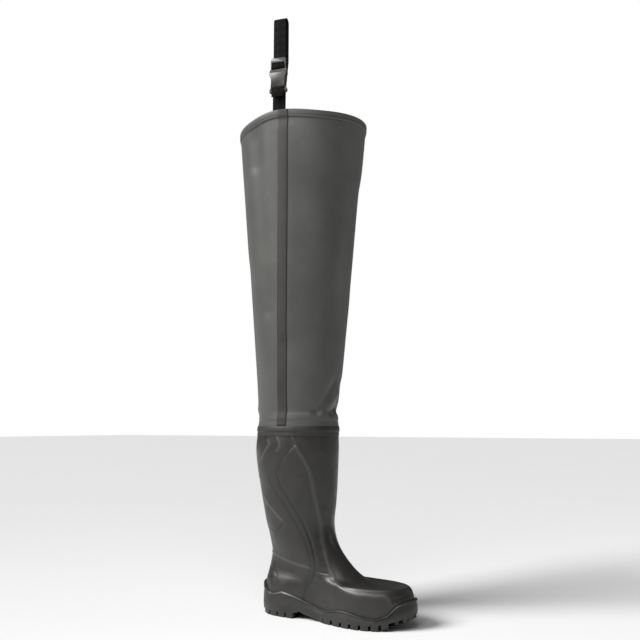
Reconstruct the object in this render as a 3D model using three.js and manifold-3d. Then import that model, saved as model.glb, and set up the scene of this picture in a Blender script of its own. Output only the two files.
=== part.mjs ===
// Hip wader for the right foot: a moulded boot, a coated-fabric leg to the thigh and a
// belt strap with a side-release buckle. Millimetres, +Z up, +X towards the toe,
// -Y towards the outer side of the leg.
import * as THREE from "three";
import { mergeVertices } from "three/addons/utils/BufferGeometryUtils.js";
import Module from "manifold-3d";

const wasm = await Module();
wasm.setup();

// Boot
const footLength = 305; // heel to toe over the outsole
const ballWidth = 112; // outsole across the ball
const instepHeight = 131; // floor to the turn of the foot into the shaft, in front
const bootHeight = 355; // floor to the moulded top edge
const shaftDepth = 164; // front to back at the calf
const shaftWidth = 137; // side to side at the calf
const bootWall = 4;
const panelStep = 0.9; // the side panels stand this proud of the shaft
const panelGap = 12.5; // and keep this far from the boot's middle line
const lugDepth = 8.5;
const lugDraft = 0.7; // a lug's face is this much smaller all round than its root
const lugRoot = 1; // lugs run this far into the outsole's base
const lugInset = 1.3; // outer lugs stand in from the sole's edge
const insoleThickness = 4;
const insertRecess = 2.2; // the sole insert stays this far above the lugs' faces
const insertSeat = 2; // and is let into the outsole's base by this much
const insertNotch = 11; // depth of the V in its front end
const insertFloor = 0.85; // the insert's face lies at least this much below the outsole's base
const insertTaper = 0.75; // far end of each prong of its fork
const notchShare = 0.72; // width of the V against the insert's front end
const crossRibs = { from: 0.36, to: 0.49, count: 8, fill: 0.55, proud: 0.5, depth: 2.6, inset: 1 };
const waist = { from: 0.3, to: 0.482 }; // arch between heel and ball
const waistSlotDepth = 2.2;

// Leg
const collarHeight = 929; // floor to the leg's top edge, front and back
const collarDepth = 253; // long axis of its oval
const collarWidth = 212; // short axis
const collarTurn = 28; // degrees that the long axis turns, front end to the inner side
const collarCentre = 78.8; // from the heel's back, along the foot
const collarTilt = 9; // front end higher and back end lower by this
const collarRise = 10; // drawn up by the strap
const riseSpread = 30; // degrees around the collar over which that rise fades
const legWall = 1.2;
const hemHeight = 14; // folded edge of two thicknesses
const hemStep = 1.3;
const cuffOverlap = 21; // fabric bonded over the boot's top
const seamTapeWidth = 18; // around the joint
const sideTapeWidth = 19; // down the outer side
const sideTapeTop = 98; // from the heel's back, along the foot
const sideTapeBottom = 74;
const tapeThickness = 0.7;

// Belt strap and buckle
const strapWidth = 25;
const strapThickness = 1.7;
const strapAlong = 88; // where it meets the collar, from the heel's back
const strapSide = -106; // and from the middle line
const strapTurn = 12; // degrees that its face turns towards the front
const strapTail = 32; // sewn inside the collar below its edge
const loopHeight = 197; // top of the loop above the collar
const loopGap = 15; // between the middles of the loop's two runs
const foldBack = 13; // end of the short strap turned back over its bar
const buckleLift = 41; // socket's lower end above the collar
const buckleWidth = 35.5;
const socketHeight = 40;
const socketThickness = 10;
const tongueHeight = 29;
const windowLow = 18; // side windows of the socket, above its lower end
const windowHigh = 30;
const mouthInset = 7.5; // the socket's mouth stands in from its sides
const armGap = 8; // and the arms of the tongue from the same sides
const armTip = 17; // their lowest point, above the socket's lower end
const barThickness = 5;
const barHeight = 4;
const slotHeight = 5;
const frontBar = 6; // lower edge of the tongue to its first slot
const strapPlay = 0.8; // slots are wider than the strap by this on each side
const armWidth = 5;
const wingReach = 5; // the arms' ends stand out this far into the side windows

const clearance = 0.3; // between pieces that meet
const around = 40; // points around each section, from the toe round the outer side

// Plan of the sole. along is a share of footLength from the heel, side a share of ballWidth,
// minus on the outer side.
const solePlan = [
  { along: 1.0, side: 0.08 },
  { along: 0.977, side: -0.13 },
  { along: 0.92, side: -0.305 },
  { along: 0.83, side: -0.435 },
  { along: 0.72, side: -0.495 },
  { along: 0.62, side: -0.485 },
  { along: 0.52, side: -0.42 },
  { along: 0.42, side: -0.37 },
  { along: 0.31, side: -0.38 },
  { along: 0.2, side: -0.385 },
  { along: 0.1, side: -0.345 },
  { along: 0.028, side: -0.215 },
  { along: 0.0, side: 0.0 },
  { along: 0.028, side: 0.215 },
  { along: 0.1, side: 0.345 },
  { along: 0.2, side: 0.38 },
  { along: 0.31, side: 0.36 },
  { along: 0.42, side: 0.325 },
  { along: 0.52, side: 0.365 },
  { along: 0.62, side: 0.445 },
  { along: 0.72, side: 0.505 },
  { along: 0.83, side: 0.48 },
  { along: 0.92, side: 0.377 },
  { along: 0.977, side: 0.228 },
];

// Heights along the sole in lugDepths: face of the lugs, floor of the grooves, floor inside
const soleProfile = [
  { along: 0.0, tread: 0.62, base: 1.25, floor: 2.6 },
  { along: 0.035, tread: 0.28, base: 1.1, floor: 2.6 },
  { along: 0.09, tread: 0.0, base: 1.0, floor: 2.6 },
  { along: 0.272, tread: 0.0, base: 1.0, floor: 2.55 },
  { along: 0.3, tread: 1.75, base: 1.95, floor: 2.5 },
  { along: 0.36, tread: 1.05, base: 1.6, floor: 2.2 },
  { along: 0.455, tread: 0.4, base: 1.15, floor: 1.75 },
  { along: 0.482, tread: 0.0, base: 1.0, floor: 1.65 },
  { along: 0.77, tread: 0.0, base: 1.0, floor: 1.55 },
  { along: 0.83, tread: 0.17, base: 1.17, floor: 1.7 },
  { along: 0.89, tread: 0.68, base: 1.6, floor: 2.1 },
  { along: 0.95, tread: 1.4, base: 2.2, floor: 2.7 },
  { along: 1.0, tread: 2.2, base: 2.9, floor: 3.3 },
];

// Top edge of the outsole's side, in lugDepths
const soleEdge = [
  { along: 0.0, height: 6.7 },
  { along: 0.045, height: 5.9 },
  { along: 0.1, height: 4.4 },
  { along: 0.15, height: 4.8 },
  { along: 0.21, height: 5.4 },
  { along: 0.26, height: 4.95 },
  { along: 0.35, height: 4.0 },
  { along: 0.45, height: 2.75 },
  { along: 0.5, height: 2.5 },
  { along: 0.545, height: 2.85 },
  { along: 0.6, height: 3.5 },
  { along: 0.68, height: 3.1 },
  { along: 0.77, height: 2.4 },
  { along: 0.84, height: 2.3 },
  { along: 0.88, height: 2.8 },
  { along: 0.93, height: 4.75 },
  { along: 0.96, height: 5.5 },
  { along: 1.0, height: 5.8 },
];

// Side of the outsole from its base to its edge: share of the height, and inset from the plan
const soleSide = [
  { share: 0, inset: 0.9 },
  { share: 0.24, inset: 0 },
  { share: 0.55, inset: 0.5 },
  { share: 0.8, inset: 2 },
  { share: 0.87, inset: 0.3 },
  { share: 0.93, inset: 0.3 },
  { share: 1, inset: 1.6 },
];

// Lugs of one side. from and to are shares of footLength, outer and inner shares of the half
// width there, sweep carries the inner end along the foot.
const lugs = [
  { from: 0.052, to: 0.1, outer: 1, inner: 0.7, sweep: 0.012 },
  { from: 0.112, to: 0.16, outer: 1, inner: 0.66, sweep: 0.012 },
  { from: 0.172, to: 0.218, outer: 1, inner: 0.64, sweep: 0.012 },
  { from: 0.23, to: 0.274, outer: 1, inner: 0.62, sweep: 0.004 },
  { from: 0.135, to: 0.165, outer: 0.56, inner: 0.36, sweep: 0.012 },
  { from: 0.19, to: 0.222, outer: 0.54, inner: 0.27, sweep: 0.012 },
  { from: 0.24, to: 0.27, outer: 0.52, inner: 0.22, sweep: 0.004 },
  { from: 0.486, to: 0.54, outer: 1, inner: 0.66, sweep: -0.012 },
  { from: 0.553, to: 0.606, outer: 1, inner: 0.66, sweep: -0.012 },
  { from: 0.619, to: 0.668, outer: 1, inner: 0.67, sweep: -0.012 },
  { from: 0.681, to: 0.728, outer: 1, inner: 0.68, sweep: -0.012 },
  { from: 0.741, to: 0.787, outer: 1, inner: 0.69, sweep: -0.012 },
  { from: 0.8, to: 0.842, outer: 1, inner: 0.7, sweep: -0.014 },
  { from: 0.855, to: 0.893, outer: 1, inner: 0.72, sweep: -0.016 },
  { from: 0.505, to: 0.545, outer: 0.58, inner: 0.44, sweep: -0.008 },
  { from: 0.57, to: 0.61, outer: 0.58, inner: 0.43, sweep: -0.008 },
  { from: 0.637, to: 0.675, outer: 0.58, inner: 0.42, sweep: -0.008 },
  { from: 0.7, to: 0.737, outer: 0.58, inner: 0.4, sweep: -0.008 },
  { from: 0.762, to: 0.797, outer: 0.58, inner: 0.34, sweep: -0.008 },
];

// V-shaped ribs under toe and heel. tip and end are shares of footLength on the middle line
// and at the side, width a share of footLength, reach a share of the half width.
const ribs = [
  { tip: 0.802, end: 0.905, width: 0.02, reach: 0.6 },
  { tip: 0.848, end: 0.948, width: 0.02, reach: 0.72 },
  { tip: 0.896, end: 0.972, width: 0.018, reach: 0.78 },
  { tip: 0.14, end: 0.042, width: -0.022, reach: 0.62 },
  { tip: 0.09, end: 0.022, width: -0.022, reach: 0.62 },
];

// Sole insert: half width and place of its middle as shares of ballWidth
const insertRows = [
  { along: 0.785, half: 0.1, middle: 0.01, ridge: 0.3 },
  { along: 0.71, half: 0.148, middle: 0.01, ridge: 1 },
  { along: 0.61, half: 0.175, middle: 0.005, ridge: 1.3 },
  { along: 0.53, half: 0.165, middle: 0, ridge: 0.8 },
  { along: 0.49, half: 0.135, middle: 0, ridge: 0.2 },
  { along: 0.36, half: 0.075, middle: 0, ridge: 0.2 },
  { along: 0.315, half: 0.05, middle: 0, ridge: 0.4 },
  { along: 0.2, half: 0.055, middle: 0, ridge: 0.6 },
];
const insertFork = { from: 0.245, to: 0.075, spread: 0.15, half: 0.036, ridge: 0.6 };
const waistSlots = { from: 0.375, to: 0.43, inner: 0.55, outer: 0.68 };

// Sections of the foot, from the sole up to the instep. front and back are shares of
// footLength, frontUp and backUp of instepHeight, half of ballWidth. round 0 keeps the sole's
// plan and 1 is an oval, hug 1 follows the inside floor, lift bows the section between.
const footSections = [
  { front: 0.984, frontUp: 0.2, back: 0.018, backUp: 0.2, half: 0.458, round: 0, hug: 1, lift: 0 },
  { front: 0.983, frontUp: 0.33, back: 0.016, backUp: 0.31, half: 0.464, round: 0, hug: 0.5, lift: -0.02 },
  { front: 0.975, frontUp: 0.44, back: 0.02, backUp: 0.42, half: 0.458, round: 0.02, hug: 0, lift: -0.01 },
  { front: 0.954, frontUp: 0.51, back: 0.027, backUp: 0.505, half: 0.435, round: 0.1, hug: 0, lift: -0.005 },
  { front: 0.92, frontUp: 0.508, back: 0.034, backUp: 0.578, half: 0.405, round: 0.32, hug: 0, lift: -0.005 },
  { front: 0.86, frontUp: 0.478, back: 0.041, backUp: 0.658, half: 0.375, round: 0.55, hug: 0, lift: 0.005 },
  { front: 0.775, frontUp: 0.47, back: 0.05, backUp: 0.76, half: 0.355, round: 0.76, hug: 0, lift: 0.015 },
  { front: 0.665, frontUp: 0.575, back: 0.054, backUp: 0.865, half: 0.355, round: 0.9, hug: 0, lift: 0.015 },
  { front: 0.564, frontUp: 0.775, back: 0.048, backUp: 0.98, half: 0.378, round: 0.97, hug: 0, lift: 0.01 },
  { front: 0.494, frontUp: 1.0, back: 0.038, backUp: 1.11, half: 0.41, round: 1, hug: 0, lift: 0 },
];

// Sections of the shaft: share of the way from instepHeight to bootHeight, centre as a share of
// footLength, depth of shaftDepth, width of shaftWidth
const shaftSections = [
  { up: 0.145, centre: 0.2436, depth: 0.82, width: 0.74 },
  { up: 0.285, centre: 0.239, depth: 0.883, width: 0.81 },
  { up: 0.44, centre: 0.2328, depth: 0.934, width: 0.89 },
  { up: 0.61, centre: 0.224, depth: 0.982, width: 0.965 },
  { up: 0.77, centre: 0.2207, depth: 1.006, width: 1.0 },
  { up: 0.91, centre: 0.2256, depth: 0.975, width: 0.975 },
  { up: 1.0, centre: 0.228, depth: 0.94, width: 0.95 },
];

// Outline of the side panel seen from the side: along as a share of footLength, up of bootHeight
const panelOutline = [
  { along: 0.328, up: 0.873 },
  { along: 0.348, up: 0.848 },
  { along: 0.367, up: 0.817 },
  { along: 0.390, up: 0.777 },
  { along: 0.407, up: 0.735 },
  { along: 0.413, up: 0.696 },
  { along: 0.420, up: 0.642 },
  { along: 0.426, up: 0.589 },
  { along: 0.433, up: 0.518 },
  { along: 0.439, up: 0.448 },
  { along: 0.450, up: 0.389 },
  { along: 0.472, up: 0.338 },
  { along: 0.496, up: 0.289 },
  { along: 0.522, up: 0.248 },
  { along: 0.555, up: 0.212 },
  { along: 0.605, up: 0.186 },
  { along: 0.655, up: 0.171 },
  { along: 0.708, up: 0.163 },
  { along: 0.764, up: 0.163 },
  { along: 0.823, up: 0.161 },
  { along: 0.872, up: 0.161 },
  { along: 0.898, up: 0.144 },
  { along: 0.915, up: 0.121 },
  { along: 0.885, up: 0.096 },
  { along: 0.839, up: 0.070 },
  { along: 0.770, up: 0.073 },
  { along: 0.679, up: 0.090 },
  { along: 0.600, up: 0.101 },
  { along: 0.544, up: 0.087 },
  { along: 0.498, up: 0.076 },
  { along: 0.449, up: 0.079 },
  { along: 0.393, up: 0.099 },
  { along: 0.357, up: 0.113 },
  { along: 0.367, up: 0.132 },
  { along: 0.385, up: 0.165 },
  { along: 0.408, up: 0.208 },
  { along: 0.416, up: 0.245 },
  { along: 0.420, up: 0.299 },
  { along: 0.410, up: 0.344 },
  { along: 0.387, up: 0.403 },
  { along: 0.364, up: 0.456 },
  { along: 0.338, up: 0.510 },
  { along: 0.308, up: 0.555 },
  { along: 0.272, up: 0.611 },
  { along: 0.233, up: 0.662 },
  { along: 0.210, up: 0.710 },
  { along: 0.207, up: 0.732 },
  { along: 0.233, up: 0.775 },
  { along: 0.259, up: 0.808 },
  { along: 0.295, up: 0.842 },
];

// Sections of the leg between the boot's edge and the hem: share of the way up, growth from the
// boot's oval (0) to the collar's (1), and shift along the foot in millimetres
const legSections = [
  { up: 0.012, grow: 0.0, shift: 0 },
  { up: 0.028, grow: -0.02, shift: -2.5 },
  { up: 0.06, grow: 0.035, shift: -1.2 },
  { up: 0.14, grow: 0.135, shift: 0 },
  { up: 0.3, grow: 0.297, shift: 0 },
  { up: 0.5, grow: 0.5, shift: 0 },
  { up: 0.72, grow: 0.715, shift: 0 },
  { up: 0.88, grow: 0.88, shift: 0 },
];

const mix = THREE.MathUtils.lerp;
const vec = (x, y, z = 0) => new THREE.Vector3(x, y, z);

// Value of a table's column between its rows
function lookUp(table, key, column, at) {
  const last = table.length - 1;
  if (at <= table[0][key]) return table[0][column];
  if (at >= table[last][key]) return table[last][column];
  const i = table.findIndex((row) => row[key] > at);
  const share = (at - table[i - 1][key]) / (table[i][key] - table[i - 1][key]);
  return mix(table[i - 1][column], table[i][column], share);
}
const treadZ = (x) => lugDepth * lookUp(soleProfile, "along", "tread", x / footLength);
const baseZ = (x) => lugDepth * lookUp(soleProfile, "along", "base", x / footLength);
const floorZ = (x) => lugDepth * lookUp(soleProfile, "along", "floor", x / footLength);
const edgeZ = (x) => lugDepth * lookUp(soleEdge, "along", "height", x / footLength);

// Closed solids from points and faces
function toSolid(geometry) {
  const plain = geometry.clone();
  plain.deleteAttribute("normal");
  plain.deleteAttribute("uv");
  const merged = mergeVertices(plain, 1e-4);
  const make = (triVerts) =>
    new wasm.Manifold(
      new wasm.Mesh({
        numProp: 3,
        vertProperties: new Float32Array(merged.attributes.position.array),
        triVerts,
      }),
    );
  const faces = new Uint32Array(merged.index.array);
  const solid = make(faces);
  if (solid.volume() > 0) return solid;
  for (let i = 0; i < faces.length; i += 3) {
    const second = faces[i + 1];
    faces[i + 1] = faces[i + 2];
    faces[i + 2] = second;
  }
  return make(faces);
}
function solidFrom(points, faces) {
  const flat = new Float32Array(points.flatMap((p) => [p.x, p.y, p.z]));
  const geometry = new THREE.BufferGeometry();
  geometry.setAttribute("position", new THREE.BufferAttribute(flat, 3));
  geometry.setIndex(faces);
  return toSolid(geometry);
}
function bandFaces(faces, first, second, count) {
  for (let j = 0; j < count; j++) {
    const next = (j + 1) % count;
    faces.push(first + j, first + next, second + next, first + j, second + next, second + j);
  }
}
// Rings joined last to first: a tube with a wall
function ringLoop(rings) {
  const count = rings[0].length;
  const faces = [];
  rings.forEach((_, k) => bandFaces(faces, k * count, ((k + 1) % rings.length) * count, count));
  return solidFrom(rings.flat(), faces);
}
// Rings closed at both ends by strips from side to side
function ringStack(rings) {
  const count = rings[0].length;
  const faces = [];
  for (let k = 0; k + 1 < rings.length; k++) bandFaces(faces, k * count, (k + 1) * count, count);
  const close = (first, turned) => {
    for (let j = 0; j < count / 2; j++) {
      const [a, b] = [j, j + 1];
      const [c, d] = [(count - j - 1) % count, (count - j) % count];
      const face = (p, q, r) => {
        if (p !== q && q !== r && p !== r)
          faces.push(first + p, first + (turned ? r : q), first + (turned ? q : r));
      };
      face(a, b, c);
      face(a, c, d);
    }
  };
  close(0, true);
  close((rings.length - 1) * count, false);
  return solidFrom(rings.flat(), faces);
}
// A block from its lower and upper outline, both in the same order
function block(lower, upper) {
  const n = lower.length;
  const faces = [];
  bandFaces(faces, 0, n, n);
  for (let j = 1; j + 1 < n; j++) faces.push(0, j + 1, j, n, n + j, n + j + 1);
  return solidFrom([...lower, ...upper], faces);
}
// A flat outline of [across, up] points drawn out along the foot or across it
function slab(outline, depth) {
  const shape = new THREE.Shape(outline.map(([a, b]) => new THREE.Vector2(a, b)));
  const geometry = new THREE.ExtrudeGeometry(shape, { depth, bevelEnabled: false, steps: 1 });
  geometry.translate(0, 0, -depth / 2);
  return geometry;
}
const slabAcross = (outline, depth, y) =>
  toSolid(slab(outline, depth).rotateX(Math.PI / 2).translate(0, y, 0));
const slabAlong = (outline, depth, x) =>
  toSolid(slab(outline, depth).rotateX(Math.PI / 2).rotateZ(Math.PI / 2).translate(x, 0, 0));
const oblong = (x0, x1, z0, z1) => [
  [x0, z0],
  [x1, z0],
  [x1, z1],
  [x0, z1],
];

// The sole's plan as a smooth closed curve, point j of `around` from the toe round the outer side
const planCurve = new THREE.CatmullRomCurve3(
  solePlan.map((p) => vec(p.along * footLength, p.side * ballWidth)),
  true,
  "centripetal",
);
function planPoint(j, inset) {
  const at = (j / around) % 1;
  const p = planCurve.getPoint(at);
  const t = planCurve.getTangent(at);
  return vec(p.x + t.y * inset, p.y - t.x * inset);
}
// Where the plan's edge lies at x, side -1 outer and +1 inner
function planEdge(side, x, inset) {
  const edge = [];
  const half = around / 2;
  for (let j = half; j >= 0; j--) edge.push(planPoint(side < 0 ? j : (around - j) % around, inset));
  const i = THREE.MathUtils.clamp(edge.findIndex((p) => p.x > x), 1, half);
  const share = THREE.MathUtils.clamp((x - edge[i - 1].x) / (edge[i].x - edge[i - 1].x), 0, 1);
  return mix(edge[i - 1].y, edge[i].y, share);
}
const planMiddle = (x) => (planEdge(-1, x, 0) + planEdge(1, x, 0)) / 2;

// Sections of the upper
function footRing(s) {
  return Array.from({ length: around }, (_, j) => {
    const plan = planPoint(j, 0);
    const angle = (2 * Math.PI * j) / around;
    const u = mix(plan.x / footLength, (1 + Math.cos(angle)) / 2, s.round);
    const v = mix((2 * plan.y) / ballWidth, -Math.sin(angle), s.round);
    const x = footLength * mix(s.back, s.front, u);
    const line = instepHeight * (mix(s.backUp, s.frontUp, u) + s.lift * 4 * u * (1 - u));
    const low = floorZ(x) + clearance + instepHeight * (s.frontUp - footSections[0].frontUp);
    return vec(x, v * s.half * ballWidth, mix(line, low, s.hug));
  });
}
// Oval whose long axis may be turned. Point j keeps its bearing, and heightAt takes the bearing in
// degrees and the share of the long axis.
const up = vec(0, 0, 1);
const radians = THREE.MathUtils.degToRad;
function ovalRing(centre, depth, width, turn, heightAt) {
  return Array.from({ length: around }, (_, j) => {
    const bearing = (360 * j) / around;
    const angle = radians(bearing + turn);
    const p = vec((Math.cos(angle) * depth) / 2, (-Math.sin(angle) * width) / 2);
    p.applyAxisAngle(up, radians(turn));
    return vec(centre + p.x, p.y, heightAt(bearing, Math.cos(angle)));
  });
}
const shaftRing = (s) =>
  ovalRing(s.centre * footLength, s.depth * shaftDepth, s.width * shaftWidth, 0, () =>
    mix(instepHeight, bootHeight, s.up),
  );
// Further rings between, on a smooth curve up each meridian
function smoothRings(rings, between) {
  const lines = rings[0].map(
    (_, j) => new THREE.CatmullRomCurve3(rings.map((r) => r[j]), false, "centripetal"),
  );
  const steps = rings.length - 1;
  return between.flatMap((count, k) =>
    Array.from({ length: count }, (_, i) => lines.map((line) => line.getPoint((k + i / count) / steps))),
  );
}
const cuppedRings = 12; // those of the foot, up to the vamp
const tableRings = [...footSections.map(footRing), ...shaftSections.map(shaftRing)];
const upperRings = [
  ...smoothRings(tableRings, [1, 1, 2, 2, 2, 2, 1, 1, 1, 1, 1, 1, 1, 1, 1, 1]),
  tableRings[tableRings.length - 1],
];

// Rings moved out along the surface's own direction, keeping their order
function movedOut(rings, distance) {
  return rings.map((ring, k) =>
    ring.map((p, j) => {
      const rise = rings[Math.min(k + 1, rings.length - 1)][j].clone().sub(rings[Math.max(k - 1, 0)][j]);
      const along = ring[(j + 1) % around].clone().sub(ring[(j + around - 1) % around]);
      return p.clone().addScaledVector(rise.cross(along).normalize(), distance);
    }),
  );
}
// Ring on a stack's surface at one height, moved out level
function ringAt(rings, z, out) {
  const level = rings[0].map((_, j) => {
    let k = 1;
    while (k < rings.length - 1 && rings[k][j].z < z) k++;
    const [a, b] = [rings[k - 1][j], rings[k][j]];
    return a.clone().lerp(b, (z - a.z) / (b.z - a.z));
  });
  return level.map((p, j) => {
    const along = level[(j + 1) % around].clone().sub(level[(j + around - 1) % around]);
    along.setZ(0).normalize();
    return vec(p.x - along.y * out, p.y + along.x * out, z);
  });
}

// Upper: hollow boot, open at the top and underneath, with a raised panel on each side
function upperSolid() {
  const inner = movedOut(upperRings, -bootWall);
  inner[0].forEach((p, j) => p.setZ(upperRings[0][j].z));
  inner[inner.length - 1].forEach((p) => p.setZ(bootHeight));
  const shell = ringLoop([...upperRings, ...inner.reverse()]);
  const raised = ringLoop([...movedOut(upperRings, panelStep), ...movedOut(upperRings, -bootWall / 2).reverse()]);
  const outline = panelOutline.map((p) => [p.along * footLength, p.up * bootHeight]);
  const sides = [-1, 1].map((side) => slabAcross(outline, ballWidth, side * (ballWidth / 2 + panelGap)));
  return shell.add(raised.intersect(sides[0].add(sides[1])));
}

// Outsole: a cup around the upper's foot, with lugs, ribs and a waist plate below
function outsoleSolid() {
  const ringOf = (place) => Array.from({ length: around }, (_, j) => place(j));
  const outer = soleSide.map((s) =>
    ringOf((j) => {
      const x = planPoint(j, 0).x;
      return planPoint(j, s.inset).setZ(mix(baseZ(x), edgeZ(x), s.share));
    }),
  );
  const cup = ringStack(outer).subtract(footSpace());
  const treads = [...lugSolids(), ...ribSolids(), waistPlate()];
  const slots = [-1, 1].map(waistSlot);
  return treads
    .reduce((all, t) => all.add(t), cup)
    .subtract(insertSolid(clearance))
    .subtract(slots[0])
    .subtract(slots[1]);
}
// The room that the upper and insole take in the outsole
function footSpace() {
  const wide = movedOut(upperRings.slice(0, cuppedRings), clearance);
  const low = wide[0].map((p) => vec(p.x, p.y, floorZ(p.x)));
  return ringStack([low, ...wide.slice(1)]);
}
function treadBlock(corners, lift) {
  const middle = corners.reduce((sum, c) => sum.add(c), vec(0, 0)).divideScalar(corners.length);
  const lower = corners.map((c) => {
    const p = c.clone().add(middle.clone().sub(c).setLength(lugDraft));
    return p.setZ(treadZ(p.x) + lift);
  });
  return block(lower, corners.map((c) => vec(c.x, c.y, baseZ(c.x) + lugRoot)));
}
function treadPoint(side, along, share) {
  const x = along * footLength;
  const edge = planEdge(side, x, lugInset);
  return vec(x, mix(planMiddle(x), edge, share));
}
function lugSolids() {
  return [-1, 1].flatMap((side) =>
    lugs.map((l) =>
      treadBlock(
        [
          treadPoint(side, l.from, l.outer),
          treadPoint(side, l.to, l.outer),
          treadPoint(side, l.to + l.sweep, l.inner),
          treadPoint(side, l.from + l.sweep, l.inner),
        ],
        0,
      ),
    ),
  );
}
function ribSolids() {
  return [-1, 1].flatMap((side) =>
    ribs.map((r) =>
      treadBlock(
        [
          treadPoint(-side, r.tip, 0.04),
          treadPoint(side, r.end, r.reach),
          treadPoint(side, r.end + r.width, r.reach),
          treadPoint(-side, r.tip + r.width, 0.04),
        ],
        0,
      ),
    ),
  );
}
function waistPlate() {
  const rows = soleProfile.map((row) => row.along).filter((a) => a >= waist.from && a <= waist.to);
  const ring = (zAt, inset) => [
    ...rows.map((a) => vec(a * footLength, planEdge(-1, a * footLength, inset), zAt(a * footLength))),
    ...[...rows].reverse().map((a) => vec(a * footLength, planEdge(1, a * footLength, inset), zAt(a * footLength))),
  ];
  const n = rows.length * 2;
  const [lower, upper] = [ring(treadZ, 2 * lugInset), ring((x) => baseZ(x) + lugRoot, lugInset)];
  const faces = [];
  bandFaces(faces, 0, n, n);
  for (let i = 0; i + 1 < rows.length; i++) {
    const [a, b, c, d] = [i, i + 1, n - 2 - i, n - 1 - i];
    faces.push(a, c, b, a, d, c, n + a, n + b, n + c, n + a, n + c, n + d);
  }
  return solidFrom([...lower, ...upper], faces);
}
function waistSlot(side) {
  const s = waistSlots;
  const corners = [
    treadPoint(side, s.from, s.outer),
    treadPoint(side, s.to, s.outer),
    treadPoint(side, s.to, s.inner),
    treadPoint(side, s.from, s.inner),
  ];
  const at = (c, up) => vec(c.x, c.y, treadZ(c.x) + up);
  return block(corners.map((c) => at(c, -lugDepth)), corners.map((c) => at(c, waistSlotDepth)));
}

// Sole insert, or with a margin the pocket that it lies in
const insertFace = (x) => Math.min(treadZ(x) + insertRecess, baseZ(x) - insertFloor);
function insertSolid(margin) {
  const section = (along, middle, half, ridge, margin) => {
    const x = along * footLength;
    const face = margin > 0 ? -lugDepth : insertFace(x);
    const seat = baseZ(x) + insertSeat + margin;
    const [m, h] = [middle * ballWidth, half * ballWidth + margin];
    return [vec(x, m - h, seat), vec(x, m - h, face + ridge), vec(x, m, face), vec(x, m + h, face + ridge), vec(x, m + h, seat)];
  };
  const rodFrom = (sections) => {
    const n = 5;
    const faces = [];
    for (let k = 0; k + 1 < sections.length; k++) bandFaces(faces, k * n, (k + 1) * n, n);
    const end = (sections.length - 1) * n;
    for (let j = 1; j + 1 < n; j++) faces.push(0, j + 1, j, end, end + j, end + j + 1);
    return solidFrom(sections.flat(), faces);
  };
  const alongs = insertRows.map((r) => r.along);
  const leaf = insertRows.map((r, i) => {
    const endShift = (i === 0 ? 1 : i === alongs.length - 1 ? -1 : 0) * (margin / footLength);
    return section(r.along + endShift, r.middle, r.half, r.ridge, margin);
  });
  const f = insertFork;
  const prongs = [-1, 1].map((side) =>
    rodFrom([
      section(f.from, 0, f.half, f.ridge, margin),
      section(f.to - margin / footLength, side * f.spread, f.half * insertTaper, f.ridge, margin),
    ]),
  );
  let insert = rodFrom(leaf).add(prongs[0]).add(prongs[1]);
  const front = alongs[0] * footLength + margin;
  const half = insertRows[0].half * ballWidth * notchShare;
  const middle = insertRows[0].middle * ballWidth;
  const notch = [vec(front - insertNotch, middle), vec(front + 1, middle - half), vec(front + 1, middle + half)];
  insert = insert.subtract(
    block(notch.map((p) => vec(p.x, p.y, -lugDepth)), notch.map((p) => vec(p.x, p.y, 3 * lugDepth))),
  );
  if (margin > 0) return insert;
  const c = crossRibs;
  for (let i = 0; i < c.count; i++) {
    const row = (share, lift) => {
      const along = mix(c.from, c.to, (i + share) / c.count);
      const half = lookUp([...insertRows].reverse(), "along", "half", along) * ballWidth - c.inset;
      const x = along * footLength;
      const z = insertFace(x) + lift;
      return [vec(x, -half, z), vec(x, half, z)];
    };
    const [a, b] = [0.5 - c.fill / 2, 0.5 + c.fill / 2];
    const lower = [...row(a, -c.proud), ...row(b, -c.proud).reverse()];
    const upper = [...row(a, c.depth - c.proud), ...row(b, c.depth - c.proud).reverse()];
    insert = insert.add(block(lower, upper));
  }
  return insert;
}

// Insole: lies on the outsole's inside floor, within the upper's lower edge
function insoleSolid() {
  const inner = movedOut(upperRings.slice(0, 3), -bootWall)[0];
  const sheet = (up) =>
    inner.map((p, j) => {
      const along = inner[(j + 1) % around].clone().sub(inner[(j + around - 1) % around]);
      along.setZ(0).normalize();
      const [x, y] = [p.x + along.y * 2 * clearance, p.y - along.x * 2 * clearance];
      return vec(x, y, floorZ(p.x) + clearance + up);
    });
  return ringStack([sheet(0), sheet(insoleThickness)]);
}

// Leg: fabric bonded over the boot's top, drawn in above it and widening to a folded hem
const bootTop = upperRings[upperRings.length - 1];
const strapBearing = THREE.MathUtils.radToDeg(Math.atan2(-strapSide, strapAlong - collarCentre));
const collarZ = (bearing, front) =>
  collarHeight +
  collarTilt * front +
  collarRise * Math.exp(-(((bearing - strapBearing) / riseSpread) ** 2));
function legOuterRings() {
  const cuffZ = bootHeight - cuffOverlap;
  const out = clearance + legWall;
  const cuff = [cuffZ, bootHeight].map((z) => ringAt(upperRings, z, out));
  const collar = ovalRing(collarCentre, collarDepth, collarWidth, collarTurn, collarZ);
  const start = ringAt(upperRings, bootHeight, out);
  const between = legSections.map((s) =>
    start.map((p, j) => {
      const q = p.clone().lerp(collar[j], s.grow);
      return vec(q.x + s.shift, q.y, mix(p.z, collar[j].z, s.up));
    }),
  );
  const hem = collar.map((p, j) => p.clone().lerp(start[j], hemHeight / (p.z - start[j].z)));
  return [...cuff, ...between, hem, collar];
}
const legRings = legOuterRings();
function legSolid() {
  const outer = legRings.slice(0, -1);
  const hem = legRings.slice(-2).map((ring) => movedOutLevel(ring, hemStep));
  const inner = legRings.map((ring) => movedOutLevel(ring, -legWall));
  return ringLoop([...outer, ...hem, ...inner.reverse()]);
}
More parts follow.
